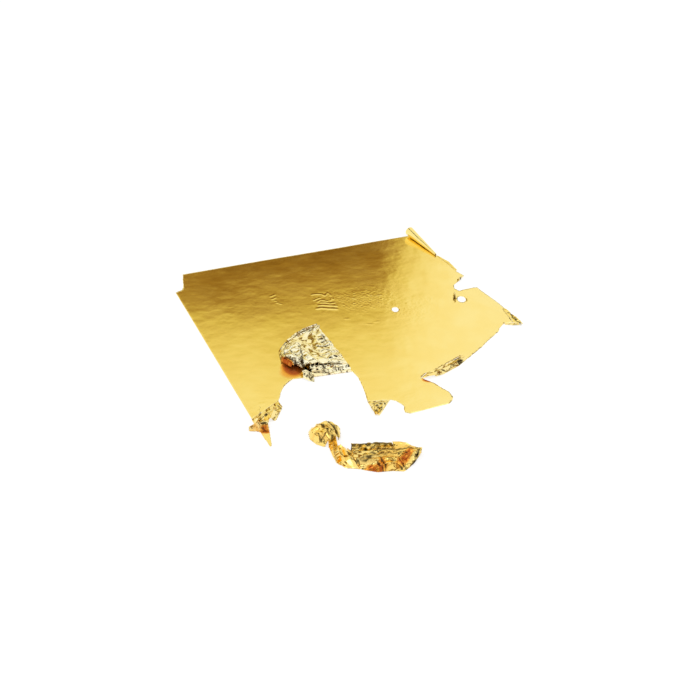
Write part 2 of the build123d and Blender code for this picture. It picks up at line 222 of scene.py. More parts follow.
def metal_card(name, corners, finish, colour):
    """A glowing card that is seen in reflections and neither lights nor shades anything else."""
    shine = finish.node("ShaderNodeEmission", None, {"Color": colour, "Strength": 1.0})
    finish.node("ShaderNodeOutputMaterial", None, {"Surface": shine.out(0)})
    mesh = bpy.data.meshes.new(name)
    mesh.from_pydata(corners, [], [(0, 1, 2, 3)])
    mesh.materials.append(finish.owner)
    card = in_scene(name, mesh)
    card.visible_camera = False
    card.visible_diffuse = False
    card.visible_shadow = False
    card.visible_transmission = False
    return card


# %% The graded card behind the leaf
card_distance = 0.45
card_left, card_right = -0.5, 0.75
card_foot, card_top = 0.0, 0.75
# The dark part of the card: its top, the height from there to white, and its lower edge
dark_top, fade_height = 0.191, 0.44
dark_foot, foot_softness, foot_lightness = 0.14, 0.03, 0.4
# Its top rises on the right, and below a certain height it does so sooner
dark_bulge = 0.024
early_rise, late_rise, early_rise_top = (0.02, 0.09), (0.09, 0.17), (0.245, 0.285)
# It ends in one fade on the left, and on the right in two along a leaning edge
left_end, dark_lean = (0.1, 0.4), 0.2
right_edge, edge_lightness = (0.285, 0.375), 0.4
right_end, end_lightness = (0.34, 0.45), 0.45
card_stops = [
    (0.0, (0.22, 0.115, 0.02)),
    (0.075, (0.34, 0.19, 0.038)),
    (0.114, (0.41, 0.27, 0.07)),
    (0.136, (0.57, 0.43, 0.125)),
    (0.18, (0.67, 0.54, 0.17)),
    (0.227, (0.8, 0.69, 0.28)),
    (0.27, (0.87, 0.77, 0.38)),
    (0.364, (0.92, 0.84, 0.53)),
    (0.545, (0.98, 0.93, 0.72)),
    (1.0, (1.0, 1.0, 1.0)),
]

card_corners = [(x, card_distance, z) for x, z in [
    (card_left, card_foot), (card_right, card_foot), (card_right, card_top), (card_left, card_top)
]]
card_finish = Finish(bpy.data.materials.new("graded_card"))
spot = card_finish.node("ShaderNodeTexCoord").out("Object")
axes = card_finish.node("ShaderNodeSeparateXYZ", None, {0: spot})


def fade(finish, value, start, end):
    """0 before start, 1 after end, and a smooth climb between them."""
    settings = {"interpolation_type": "SMOOTHSTEP"}
    sockets = {"Value": value, "From Min": start, "From Max": end}
    return finish.node("ShaderNodeMapRange", settings, sockets).out(0)


def mix_colours(finish, share, first, second):
    """One colour where the share is 0, another where it is 1."""
    first, second = (c if isinstance(c, Wire) else (*c, 1) for c in (first, second))
    colours, mixed = (6, 7), 2
    sockets = {0: share, colours[0]: first, colours[1]: second}
    return finish.node("ShaderNodeMix", {"data_type": "RGBA"}, sockets).out(mixed)


across_card, up_card = axes.out("X"), axes.out("Z")
late = fade(card_finish, across_card, *late_rise)
early = fade(card_finish, across_card, *early_rise) - late
hump = early * dark_bulge * (1 - fade(card_finish, up_card, *early_rise_top))
climb = (up_card - dark_top - late * dark_bulge - hump) * (1 / fade_height)
aside = across_card + up_card * dark_lean
edge_of_dark = fade(card_finish, aside, *right_edge) * edge_lightness
right_of_dark = edge_of_dark + fade(card_finish, aside, *right_end) * end_lightness
left_of_dark = fade(card_finish, across_card * -1, *left_end)
below_dark = fade(card_finish, up_card * -1, -dark_foot, foot_softness - dark_foot) * foot_lightness
lightness = climb.larger(right_of_dark).larger(left_of_dark).larger(below_dark)
ramp = card_finish.node("ShaderNodeValToRGB", {"stops": card_stops}, {"Fac": lightness})
metal_card("graded_card", card_corners, card_finish, ramp.out("Color"))
print("graded card of", len(card_stops), "tones,", card_distance, "m behind the middle of the sheet")

# %% Dark cards and lamps
flag_distance = 0.7
flag_colours = {"dark": (0.03, 0.022, 0.012, 1), "brown": (0.3, 0.17, 0.06, 1)}
# Each card: compass turn from +Y towards +X, height above the table, width and height, in degrees
flags = {
    "dark": [
        (62, 12, 16, 20), (98, 20, 10, 36), (135, 8, 22, 14), (165, 42, 12, 26), (205, 62, 26, 16),
        (228, 18, 14, 34), (262, 10, 18, 18), (292, 34, 10, 22), (325, 14, 20, 16), (350, 55, 14, 10),
    ],
    "brown": [
        (76, 45, 26, 14), (115, 36, 14, 22), (150, 18, 40, 14), (190, 26, 30, 14), (250, 44, 26, 10),
        (278, 26, 16, 20),
    ],
}


def facing_leaf(compass, height, distance):
    """Where something stands that faces the leaf from that side and height, and its turn."""
    across, up = math.radians(compass), math.radians(height)
    away = Vector((math.sin(across) * math.cos(up), math.cos(across) * math.cos(up), math.sin(up)))
    return away * distance, away.to_track_quat("Z", "Y").to_matrix().to_4x4()


for tone, cards in flags.items():
    for number, (compass, height, wide, high) in enumerate(cards):
        size_x, size_y = (flag_distance * math.radians(angle) / 2 for angle in (wide, high))
        place, aim = facing_leaf(compass, height, flag_distance)
        corners = [(-size_x, -size_y, 0), (size_x, -size_y, 0), (size_x, size_y, 0), (-size_x, size_y, 0)]
        name = f"{tone}_card_{number}"
        flag = metal_card(name, corners, Finish(bpy.data.materials.new(name)), flag_colours[tone])
        flag.matrix_world = Matrix.Translation(place) @ aim

lamp_distance = 0.9
# Each lamp: compass turn, height above the table, size in metres, brightness as it is mirrored
lamps = [(285, 68, 0.22, 1.9), (120, 58, 0.16, 1.9)]
for number, (compass, height, size, brightness) in enumerate(lamps):
    lamp_data = bpy.data.lights.new(f"lamp_{number}", "AREA")
    lamp_data.size = size
    lamp_data.energy = brightness * math.pi * size * size
    lamp = in_scene(f"lamp_{number}", lamp_data)
    place, aim = facing_leaf(compass, height, lamp_distance)
    lamp.matrix_world = Matrix.Translation(place) @ aim
    lamp.visible_camera = False
print({tone: len(cards) for tone, cards in flags.items()}, "cards and", len(lamps), "lamps round the leaf")


# %% [markdown]
# ## Leaf finishes
# Leaf is beaten or rolled metal: a near mirror with a fine grain, a little duller where it was
# handled. The finish is a metal whose tint drifts slightly between lemon and orange gold, whose
# roughness changes in soft patches, and whose grain is a bump far too small to model. The
# reverse shows on the folded tongue, and there the gold is paler, a painted highlight for the
# light that its crushed facets catch. Deep in a fold gold mirrors gold many times, which turns it a
# matt orange red, and in the sharpest creases no light is left. A render stops after a few bounces,
# so both are painted: the meshes carry two values, one for painted bounce light and shade in open
# pockets and one for painted shade in sharp creases, and the finish tints by them. The wrinkles
# themselves are in the meshes.

# %% Leaf finishes
# Size and detail of the grain and of the patches, and how far the patches reach and count
grain_size, grain_detail = 0.45 * mm, 4.0
patch_size, patch_detail = 14 * mm, 3.0
patch_range, patch_share = (0.35, 0.65), 0.7
# The values that the meshes carry, for painted bounce light and shade in pockets and for painted
# shade in creases, and what they do to the metal
deep_fold = "deep_fold"
sharp_crease = "sharp_crease"
pocket_matt, pocket_dullness = 0.3, 0.2
# Painted bounce light, orange, and painted shade, dark red, deep in pockets
painted_bounce_orange, orange_range = (0.93, 0.42, 0.05), (0, 0.5)
painted_bounce_red, red_range = (0.5, 0.1, 0.007), (0.4, 1)
# Painted shade: the near black of the sharpest creases
painted_crease_black = (0.05, 0.03, 0.008)


def leaf_finish(name, lemon, orange, dullest, brightest, grain_depth):
    """Metal leaf: tint drifting between two golds, gloss in patches, painted bounce light and shade in folds.
    """
    finish = Finish(bpy.data.materials.new(name))
    place = finish.node("ShaderNodeTexCoord").out("Object")

    def noise(size, detail):
        sockets = {"Vector": place, "Scale": 1 / size, "Detail": detail}
        return finish.node("ShaderNodeTexNoise", None, sockets).out("Fac")

    patches = fade(finish, noise(patch_size, patch_detail), *patch_range)
    grain = noise(grain_size, grain_detail)
    bounce_and_shade_share = finish.node("ShaderNodeAttribute", {"attribute_name": deep_fold}).out("Fac")
    crease_shade_share = finish.node("ShaderNodeAttribute", {"attribute_name": sharp_crease}).out("Fac")
    tint = mix_colours(finish, patches * patch_share + grain * (1 - patch_share), lemon, orange)
    # Painted bounce light and shade in pockets, orange then dark red, and painted shade, near black, in
    # creases
    tint = mix_colours(finish, fade(finish, bounce_and_shade_share, *orange_range), tint, painted_bounce_orange)
    tint = mix_colours(finish, fade(finish, bounce_and_shade_share, *red_range), tint, painted_bounce_red)
    tint = mix_colours(finish, crease_shade_share, tint, painted_crease_black)
    relief = finish.node("ShaderNodeBump", None, {"Strength": 1.0, "Distance": grain_depth, "Height": grain})
    sockets = {
        "Base Color": tint,
        "Metallic": 1 - bounce_and_shade_share * pocket_matt,
        "Roughness": patches * (dullest - brightest) + brightest + bounce_and_shade_share * pocket_dullness,
        "Normal": relief.out(0),
    }
    surface = finish.node("ShaderNodeBsdfPrincipled", None, sockets)
    finish.node("ShaderNodeOutputMaterial", None, {"Surface": surface.out(0)})
    return finish.owner


# Each slot: its metal, two golds, dullest and brightest roughness, and depth of the grain
finish_values = {
    "leaf_face": ("face_metal", (1.0, 0.82, 0.31), (1.0, 0.79, 0.26), 0.16, 0.1, 0.01 * mm),
    "leaf_creased": ("creased_metal", (1.0, 0.83, 0.36), (1.0, 0.76, 0.24), 0.12, 0.07, 0.008 * mm),
    # Painted highlight: the tongue's reverse gets a paler gold for the light its crushed facets catch
    "leaf_reverse": ("painted_pale_metal", (1.0, 0.95, 0.7), (1.0, 0.88, 0.47), 0.12, 0.07, 0.01 * mm),
    "scrap_leaf": ("scrap_metal", (1.0, 0.79, 0.27), (1.0, 0.66, 0.14), 0.12, 0.06, 0.008 * mm),
}
finishes = {slot: leaf_finish(*values) for slot, values in finish_values.items()}
print("finishes:", [material.name for material in finishes.values()])

# %% [markdown]
# ## Wrinkles
# Foil has two kinds of relief. Where it was only laid down it swells softly, which is a sum of
# long and short waves in all directions. Where it was crumpled it breaks into flat facets with
# sharp creases between them, as paper does. The facets here are a net of triangles with a random
# height at each corner, and soft waves bend the net so that no crease runs straight.


# %% Wrinkles
def waves(x, y, longest, shortest, seed, count=28):
    """Soft swells between two wavelengths, mostly between -1 and 1."""
    rng = np.random.default_rng(seed)
    lengths = np.exp(rng.uniform(math.log(shortest), math.log(longest), count))
    turns = rng.uniform(0, 2 * math.pi, count)
    phases = rng.uniform(0, 2 * math.pi, count)
    weights = lengths / lengths.max()
    total = np.zeros_like(x)
    for length, turn, phase, weight in zip(lengths, turns, phases, weights):
        total += weight * np.cos((x * math.cos(turn) + y * math.sin(turn)) * 2 * math.pi / length + phase)
    return total / math.sqrt((weights**2).sum())


def turned(x, y, angle):
    """How far the same points lie along and across a direction."""
    return x * math.cos(angle) + y * math.sin(angle), y * math.cos(angle) - x * math.sin(angle)


def facets(x, y, size, seed, turn=0.0, stretch=1.0):
    """Flat facets about size across, stretched along a turn, with heights between -1 and 1."""
    table_size = 64
    heights = np.random.default_rng(seed).uniform(-1, 1, (table_size, table_size))
    along, across = turned(x, y, turn)
    along = along / stretch
    bend = 0.3 * size
    along = along + bend * waves(along, across, 4 * size, 1.5 * size, seed + 1, 8)
    across = across + bend * waves(along, across, 4 * size, 1.5 * size, seed + 2, 8)
    row = across / (size * math.sqrt(0.75))
    column = along / size - row / 2
    i, j = np.floor(column).astype(int), np.floor(row).astype(int)
    a, b = column - i, row - j

    def corner(di, dj):
        return heights[(i + di) % table_size, (j + dj) % table_size]

    first_half = corner(0, 0) * (1 - a - b) + corner(1, 0) * a + corner(0, 1) * b
    second_half = corner(1, 1) * (a + b - 1) + corner(0, 1) * (1 - a) + corner(1, 0) * (1 - b)
    return np.where(a + b < 1, first_half, second_half)


def beside(x, y, route):
    """Distance of each point from a route of straight runs."""
    nearest = np.full_like(x, np.inf)
    for (ax, ay), (bx, by) in zip(route, route[1:]):
        dx, dy = bx - ax, by - ay
        share = np.clip(((x - ax) * dx + (y - ay) * dy) / (dx * dx + dy * dy), 0, 1)
        nearest = np.minimum(nearest, np.hypot(x - ax - share * dx, y - ay - share * dy))
    return nearest


def crease(x, y, route, width):
    """A sharp fold along a route: 1 on it, falling straight to 0 a width away."""
    return np.clip(1 - beside(x, y, route) / width, 0, 1)


def smooth(value, start, end):
    """0 before start, 1 after end, and a smooth climb between them."""
    share = np.clip((value - start) / (end - start), 0, 1)
    return share * share * (3 - 2 * share)


def lifted(z):
    """0 where the foil lies on the table, 1 where it stands clear of it."""
    return smooth(z, 0.05 * mm, 0.7 * mm)


# %% [markdown]
# ## Creases and pockets
# Most facets of the crumple are random, but the eye knows this leaf by its few sharp creases and
# its open pockets. They are listed in millimetres seen from above. A crease is pressed into the
# crumpled plies as a groove, and creases and pockets alike give the values that the finishes tint
# by: painted shade in the creases, and painted bounce light and shade in the pockets.

# %% Creases and pockets
# Each crease: its route, its width and how black its painted shade is
creases = [
    ([(-34.2, -11.2), (-36.1, -18), (-38.7, -26.6)], 0.6, 1),
    ([(-27, -14.9), (-21.8, -15.2)], 0.5, 0.95),
    ([(-27.7, -18.3), (-21.2, -19.1)], 0.5, 0.9),
    ([(-28, -21.5), (-23.2, -22.2)], 0.4, 0.8),
    ([(-24.7, -10.1), (-20.2, -7.5)], 0.5, 0.9),
    ([(-21, -5.8), (-21.2, -10.9), (-23.9, -11)], 0.7, 1),
    ([(-29.9, -24.1), (-25.3, -26.3), (-20.4, -26.9)], 0.6, 0.95),
    ([(-36, -25.5), (-32.9, -26.9), (-30.7, -28.6), (-29.9, -33.2)], 0.6, 1),
    ([(-38.6, -27.5), (-32.6, -31.4), (-29.7, -34.1)], 0.6, 1),
    ([(-27.5, -29), (-23.6, -31.5)], 0.5, 0.9),
    ([(-44.1, -14.1), (-40.1, -15.6), (-38.5, -22.8), (-39, -27.3)], 0.9, 1),
    ([(-46.5, -17.5), (-42.6, -18.5), (-40.5, -24.5)], 0.8, 0.95),
    ([(-45.5, -15.5), (-41.5, -17)], 0.5, 0.9),
    ([(-31.5, -30.5), (-26.5, -28.2), (-22, -29.5)], 0.45, 0.9),
    ([(-26, -31.8), (-21.5, -32.8)], 0.35, 0.85),
    ([(-37.5, -2.5), (-32, 0.5), (-25.5, -1), (-21.5, 1.5)], 0.5, 0.85),
    ([(-67.9, -53.2), (-63.8, -50.4)], 0.45, 0.95),
    ([(-64.3, -43.6), (-66.8, -50.2)], 0.25, 0.6),
    ([(-57.7, -45.5), (-57, -49.2), (-58.1, -50.9), (-61.5, -53), (-65, -57)], 0.3, 0.7),
    ([(-61.8, -49.1), (-61, -48.6)], 0.45, 0.9),
    ([(-60.5, -51.5), (-63, -54.5)], 0.3, 0.6),
    ([(-70.4, -56.1), (-69.1, -57.3), (-67.7, -59.9)], 0.2, 0.85),
    ([(6.8, -49.9), (16.1, -48.8), (20.8, -46.6), (28.5, -43.8)], 0.3, 0.8),
    ([(12, -50.8), (17.5, -49.9), (23, -47)], 0.25, 0.6),
    ([(23.6, -44.4), (26, -42.8)], 0.2, 0.6),
    ([(-21.3, -61.2), (-19.4, -66.2)], 0.6, 0.95),
    ([(-22.2, -58.5), (-17.7, -60.2)], 0.5, 0.9),
    ([(-25, -59.5), (-22.5, -65)], 0.4, 0.8),
    ([(69.6, -18.2), (68.7, -24.6), (68.7, -31.1)], 0.5, 0.9),
    ([(61.8, -26.8), (68.1, -29.6)], 0.4, 0.75),
    ([(66.4, 21.3), (63.8, 16.9)], 0.7, 1),
    ([(61.8, 16.5), (61, 13.6)], 0.6, 1),
    ([(52.8, 6.1), (53.2, 3.9), (49.9, 0.1)], 0.7, 1),
    ([(-42.8, -82.4), (-36, -84.5), (-28.1, -87)], 1.6, 0.85),
    ([(-43, -83.9), (-37, -85.7), (-31, -88)], 0.35, 0.8),
    ([(-42, -86.8), (-36, -88.6), (-27, -91.2)], 0.35, 0.8),
    ([(-42.5, -89.8), (-38, -91.2)], 0.45, 0.9),
    ([(-33, -93), (-29, -96.5), (-28, -99.5)], 0.5, 0.9),
    ([(-37, -93), (-36.8, -97.5)], 0.4, 0.9),
    ([(-30.5, -89.3), (-24.5, -90.6), (-20, -91.9)], 0.45, 0.85),
    ([(-47.5, -82.5), (-44, -88), (-43.2, -90.5)], 0.4, 0.85),
    ([(-52.2, -79.5), (-51.8, -86), (-51, -91.5)], 0.35, 0.8),
    ([(-43.7, -85.3), (-35.1, -86.9), (-27.1, -90.1)], 0.5, 0.9),
    ([(-43.8, -88.1), (-34.5, -90.1), (-25.1, -92)], 0.5, 0.9),
    ([(-35.1, -91.3), (-35.4, -98.3), (-33.1, -99.3)], 0.6, 0.95),
    ([(-19.2, -92.7), (-24.3, -97.5), (-29, -101.5)], 0.9, 1),
    ([(-48.6, -65), (-48.1, -70.5), (-47.3, -76)], 0.6, 0.9),
    ([(-45.8, -64.5), (-45.2, -70), (-44, -76)], 0.8, 0.95),
    ([(-43.2, -66.5), (-42, -72)], 0.5, 0.9),
    ([(-52, -70.9), (-51.1, -74.4), (-48.7, -72.8)], 0.5, 0.95),
    ([(-53.7, -73.3), (-51.3, -78)], 0.4, 0.8),
    ([(-33.1, -28.6), (-31.4, -30.7), (-29.5, -32.2)], 0.35, 0.9),
    ([(-28.9, -35.5), (-25.3, -36.5), (-21, -36.8)], 0.25, 0.6),
    ([(-26.5, -31.4), (-26.1, -33.4)], 0.3, 0.9),
    ([(-24.5, -32.9), (-24.2, -35.2)], 0.3, 0.9),
    ([(-22.3, -35), (-20.3, -36.5)], 0.35, 0.95),
    ([(-39.1, -27.5), (-38.7, -30.1), (-38.5, -32.2)], 0.35, 0.8),
    ([(-39.7, -32.5), (-38.5, -34.4), (-37.5, -35.3)], 0.35, 0.8),
    ([(-44, -18.7), (-42.4, -20.5), (-40.7, -23.3), (-39.2, -27)], 0.35, 0.9),
    ([(-34.9, -3.2), (-32.4, -2.4), (-28.9, -0.5), (-25.9, 0.8), (-23.9, 1.1), (-21.9, 0.9),
      (-18.9, 2)], 0.35, 0.9),
    ([(-39.2, -34.3), (-38.9, -35.6), (-37.5, -35)], 0.5, 0.95),
    ([(-40.1, -29.6), (-39.9, -32.6)], 0.25, 0.7),
    ([(-38.5, -29.4), (-38.5, -33.2)], 0.25, 0.7),
]
# Each pocket, whose bounce light and shade are painted: its middle, its reach along and across, its
# turn in degrees and how orange it is
pockets = [
    ((-26.5, -94.5), (6, 2), 35, 1),
    ((-38.8, -95.2), (4.6, 2), -15, 0.9),
    ((-35.5, -93.5), (2, 1.6), 40, 0.6),
    ((-50.6, -74), (1.6, 1.1), -10, 0.22),
    ((-43.8, -21.1), (4.4, 1.9), -71, 1),
    ((-67.8, -59.3), (2.4, 1.6), -27, 0.85),
    ((-70.8, -58.6), (3.4, 3.2), -27, 0.3),
    ((6.8, -52.6), (3, 1.2), -30, 0.9),
]
groove_depth = 0.45 * mm
crease_stray = 0.35 * mm
# A pocket fades between these shares of its reach, and so does a crease by its closeness
pocket_rim, crease_rim = (0.55, 1.25), (0.1, 0.75)
# Painted bounce light and shade for the underside of a ply over a hollow, and the least of it for a seam
underside_depth, seam_depth = 0.8, 0.15
print(len(creases), "creases and", len(pockets), "pockets")


def crease_depths(x, y, listed=creases):
    """How black the painted shade of each point is by its nearest sharp crease, from 0 to 1."""
    bent_x = x + crease_stray * waves(x, y, 4 * mm, 1.3 * mm, 301, 10)
    bent_y = y + crease_stray * waves(x, y, 4 * mm, 1.3 * mm, 302, 10)
    patchy = 0.8 + 0.3 * waves(x, y, 3 * mm, 1 * mm, 303, 8)
    deepest = np.zeros_like(x)
    for route, width, depth in listed:
        places = [(ax * mm, ay * mm) for ax, ay in route]
        closeness = crease(bent_x, bent_y, places, width * mm) * patchy
        deepest = np.maximum(deepest, depth * smooth(closeness, *crease_rim))
    return deepest


def pocket_depths(x, y, places=pockets):
    """How orange each point is painted, as bounce light and shade, by the open pocket that it lies in."""
    deepest = np.zeros_like(x)
    for (px, py), (along, across), turn, depth in places:
        right, back = turned(x - px * mm, y - py * mm, math.radians(turn))
        from_middle = np.hypot(right / along, back / across) / mm
        deepest = np.maximum(deepest, depth * (1 - smooth(from_middle, *pocket_rim)))
    return deepest


def fold_depths(x, y, z, up):
    """How deep in a pocket each point lies, which sets its painted bounce light and shade."""
    return pocket_depths(x, y) * (0.85 + 0.2 * waves(x, y, 3 * mm, 1 * mm, 304, 8))


def hollow_depths(x, y, z, up):
    """The same for a ply that arches over a hollow, whose underside is painted as one pocket."""
    return np.where(up < -0.5, underside_depth, fold_depths(x, y, z, up))


# %% [markdown]
# ## Cutting a skin
# The flat sheet is one skin, cut to the outline of its solid's upper side. The outline is read
# from the solid itself, so it isn't written twice, and its torn runs are made ragged. The cut is
# filled with scattered points and triangulated, and every point is then set on the solid's
# surface and moved by the relief.

# %% Cutting a skin
skin_thickness = 0.03 * mm
weld = 1e-7
looking_up = 0.02
half_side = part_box("leaf_field")[1].x
# Points closer than this to the square's sides lie on a cut edge and not on a torn one
cut_margin = 0.3 * mm
print("half the side of the sheet is", round(half_side / mm, 1), "mm")


def upper_skin(node):
    """The faces of a solid that look up, welded."""
    skin = bmesh.new()
    skin.from_mesh(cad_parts[node].data)
    bmesh.ops.remove_doubles(skin, verts=skin.verts, dist=weld)
    skin.normal_update()
    hidden = [face for face in skin.faces if face.normal.z < looking_up]
    bmesh.ops.delete(skin, geom=hidden, context="FACES")
    return skin


def rim_loops(skin):
    """The closed outlines of a skin, seen from above."""
    waiting = dict.fromkeys(edge for edge in skin.edges if edge.is_boundary)
    loops = []
    while waiting:
        edge = next(iter(waiting))
        del waiting[edge]
        start, at = edge.verts
        loop = [start.co.xy.copy(), at.co.xy.copy()]
        while at != start:
            edge = next(other for other in at.link_edges if other in waiting)
            del waiting[edge]
            at = edge.other_vert(at)
            loop.append(at.co.xy.copy())
        loops.append(np.array(loop[:-1]))
    return loops


def even_steps(loop, step):
    """The same outline with points at even steps along each of its runs."""
    points = []
    for start, end in zip(loop, np.roll(loop, -1, axis=0)):
        parts = max(1, round(np.linalg.norm(end - start) / step))
        points += [start + (end - start) * n / parts for n in range(parts)]
    return np.array(points)


def torn(loop, ragged, rng):
    """An outline with its torn runs made ragged and its cut runs kept."""
    before, after = np.roll(loop, 1, axis=0), np.roll(loop, -1, axis=0)
    along = after - before
    area = np.sum(loop[:, 0] * after[:, 1] - after[:, 0] * loop[:, 1])
    outward = np.column_stack([along[:, 1], -along[:, 0]]) / np.linalg.norm(along, axis=1)[:, None]
    outward *= math.copysign(1, area)
    cut = np.max(np.abs(loop), axis=1) > half_side - cut_margin
    wobble = rng.normal(0, ragged, len(loop)) * ~cut
    return loop + outward * wobble[:, None]


# %% Filling the cut
# As shares of the step: how far a point strays from its grid, and how near it comes to the rim
stray_share, rim_share = 0.2, 0.55


def inside(points, loops):
    """Which points lie inside the outlines, holes left out."""
    x, y = points[:, 0], points[:, 1]
    within = np.zeros(len(points), bool)
    for loop in loops:
        for (ax, ay), (bx, by) in zip(loop, np.roll(loop, -1, axis=0)):
            if ay == by:
                continue
            crosses = (ay > y) != (by > y)
            within ^= crosses & (x < ax + (y - ay) * (bx - ax) / (by - ay))
    return within


def scattered(loops, step, fine_step, fine, rng):
    """Points about a step apart inside the outlines, closer in the fine places, clear of the rim."""
    every = np.concatenate(loops)
    low, high = every.min(0), every.max(0)
    kept = []
    for spacing, wanted in ((step, False), (fine_step, True)):
        rows = np.arange(low[1], high[1], spacing * math.sqrt(0.75))
        columns = np.arange(low[0], high[0] + spacing, spacing)
        grid_x, grid_y = np.meshgrid(columns, rows)
        grid_x = grid_x + (np.arange(len(rows)) % 2)[:, None] * spacing / 2
        grid = np.stack([grid_x.ravel(), grid_y.ravel()], axis=1)
        grid += rng.uniform(-stray_share, stray_share, grid.shape) * spacing
        close = np.zeros(len(grid), bool)
        for (x, y), radius in fine:
            close |= np.hypot(grid[:, 0] - x * mm, grid[:, 1] - y * mm) < radius * mm
        grid = grid[close == wanted]
        kept.append(grid[inside(grid, loops)])
    grid = np.concatenate(kept)
    rim = KDTree(len(every))
    for number, (x, y) in enumerate(every):
        rim.insert((x, y, 0), number)
    rim.balance()
    clear = [rim.find((x, y, 0))[2] > rim_share * step for x, y in grid]
    return grid[clear]


def triangulated(loops, points):
    """Triangles that fill the outlines and use every point."""
    coordinates = [Vector(p) for loop in loops for p in loop] + [Vector(p) for p in points]
    edges = []
    first = 0
    for loop in loops:
        edges += [(first + n, first + (n + 1) % len(loop)) for n in range(len(loop))]
        first += len(loop)
    verts, _, faces, *_ = delaunay_2d_cdt(coordinates, edges, [], 0, weld, False)
    places = np.array(verts)
    faces = np.array(faces)
    middles = places[faces].mean(axis=1)
    return places, faces[inside(middles, loops)]


def solid_tree(nodes):
    """The surfaces of some solids, ready for rays."""
    solids = bmesh.new()
    for node in nodes:
        solids.from_mesh(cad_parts[node].data)
    tree = BVHTree.FromBMesh(solids)
    solids.free()
    return tree


def surface_of(node):
    """A function that gives the height of a solid's upper side over any point."""
    tree = solid_tree([node])
    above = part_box(node)[1].z + 10 * mm
    down = Vector((0, 0, -1))

    def height(x, y):
        heights = []
        for px, py in zip(x, y):
            hit = tree.ray_cast(Vector((px, py, above)), down)[0]
            if hit is None:
                hit = tree.find_nearest(Vector((px, py, above)))[0]
            heights.append(hit.z)
        return np.array(heights)

    return height


# %% [markdown]
# ## Dressing a solid
# Every piece of foil takes its finish, the two values that the finish tints by, and its place on
# a moving body in the same way, so one function does that for all. A bare surface isn't a body,
# so a Solidify modifier gives the flat sheet its thickness. A crumpled ply is made in another
# way, because its solid has its folds already: it is a fine copy of the solid, and every point
# of it is moved by facets and creases.

# %% Laying a flat skin
# The sheet's upper side stays at least this far above the table, in skin thicknesses
lowest_top = 1.2


def foil_body(name, mesh, body, slot, nodes, deep=fold_depths, sharp=crease_depths):
    """A piece of foil that rides on its body in the place of its solids."""
    mesh.materials.append(finishes[slot])
    places = np.empty(3 * len(mesh.vertices))
    mesh.vertices.foreach_get("co", places)
    x, y, z = places.reshape(-1, 3).T
    normals = np.empty(3 * len(mesh.vertices))
    mesh.vertex_normals.foreach_get("vector", normals)
    for kind, depths in ((deep_fold, deep(x, y, z, normals[2::3])), (sharp_crease, sharp(x, y))):
        shares = mesh.attributes.new(kind, "FLOAT", "POINT")
        shares.data.foreach_set("value", np.clip(depths, 0, 1).astype(np.float32))
    mesh.shade_smooth()
    made = in_scene(name, mesh)
    if nodes:
        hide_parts(*nodes)
    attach(made, body)
    print(name, len(mesh.polygons), "faces, highest", round(z.max() / mm, 2), "mm")
    return made


def thickened(piece):
    """The same piece with the thickness of a skin, added below its surface."""
    thickness = piece.modifiers.new("thickness", "SOLIDIFY")
    thickness.thickness = skin_thickness
    thickness.offset = -1
    return piece


def laid_foil(node, body, slot, relief, steps, fine, ragged, seed, deep, sharp):
    """Replace a solid that lies flat by one skin of foil on its upper side, moved by a relief."""
    rng = np.random.default_rng(seed)
    skin = upper_skin(node)
    loops = [torn(even_steps(loop, steps[0]), ragged, rng) for loop in rim_loops(skin)]
    skin.free()
    places, faces = triangulated(loops, scattered(loops, *steps, fine, rng))
    x, y = places[:, 0], places[:, 1]
    top = np.maximum(surface_of(node)(x, y) + relief(x, y), lowest_top * skin_thickness)
    mesh = bpy.data.meshes.new(node)
    mesh.from_pydata(np.column_stack([places, top]).tolist(), [], faces.tolist())
    return thickened(foil_body(f"{node}_skin", mesh, body, slot, [node], deep, sharp))


# %% Crumpling a solid
crumple_step = 0.4 * mm
sharp_angle = math.radians(50)
# A crumpled point keeps at least this share of its height, so none goes through the table
least_height = 0.2


def split_finely(points, faces, step):
    """The same surface with every edge longer than a step cut in two, until none is left."""
    while True:
        runs = {}
        for face in faces:
            for n in range(3):
                runs[tuple(sorted((face[n], face[n - 2])))] = None
        pairs = np.array(list(runs))
        lengths = np.linalg.norm(points[pairs[:, 0]] - points[pairs[:, 1]], axis=1)
        cut = pairs[lengths > step]
        if not len(cut):
            return points, faces
        middles = {(i, j): len(points) + n for n, (i, j) in enumerate(cut.tolist())}
        points = np.concatenate([points, points[cut].mean(axis=1)])
        smaller = []
        for face in faces:
            marks = [middles.get(tuple(sorted((face[n], face[n - 2])))) for n in range(3)]
            count = 3 - marks.count(None)
            if count == 0:
                smaller.append(face)
                continue
            while marks[0] is None or (count == 2 and marks[2] is not None):
                face, marks = face[1:] + face[:1], marks[1:] + marks[:1]
            (a, b, c), (ab, bc, ca) = face, marks
            if count == 1:
                smaller += [(a, ab, c), (ab, b, c)]
            elif count == 2:
                smaller += [(a, ab, c), (ab, bc, c), (ab, b, bc)]
            else:
                smaller += [(a, ab, ca), (ab, b, bc), (ca, bc, c), (ab, bc, ca)]
        faces = smaller


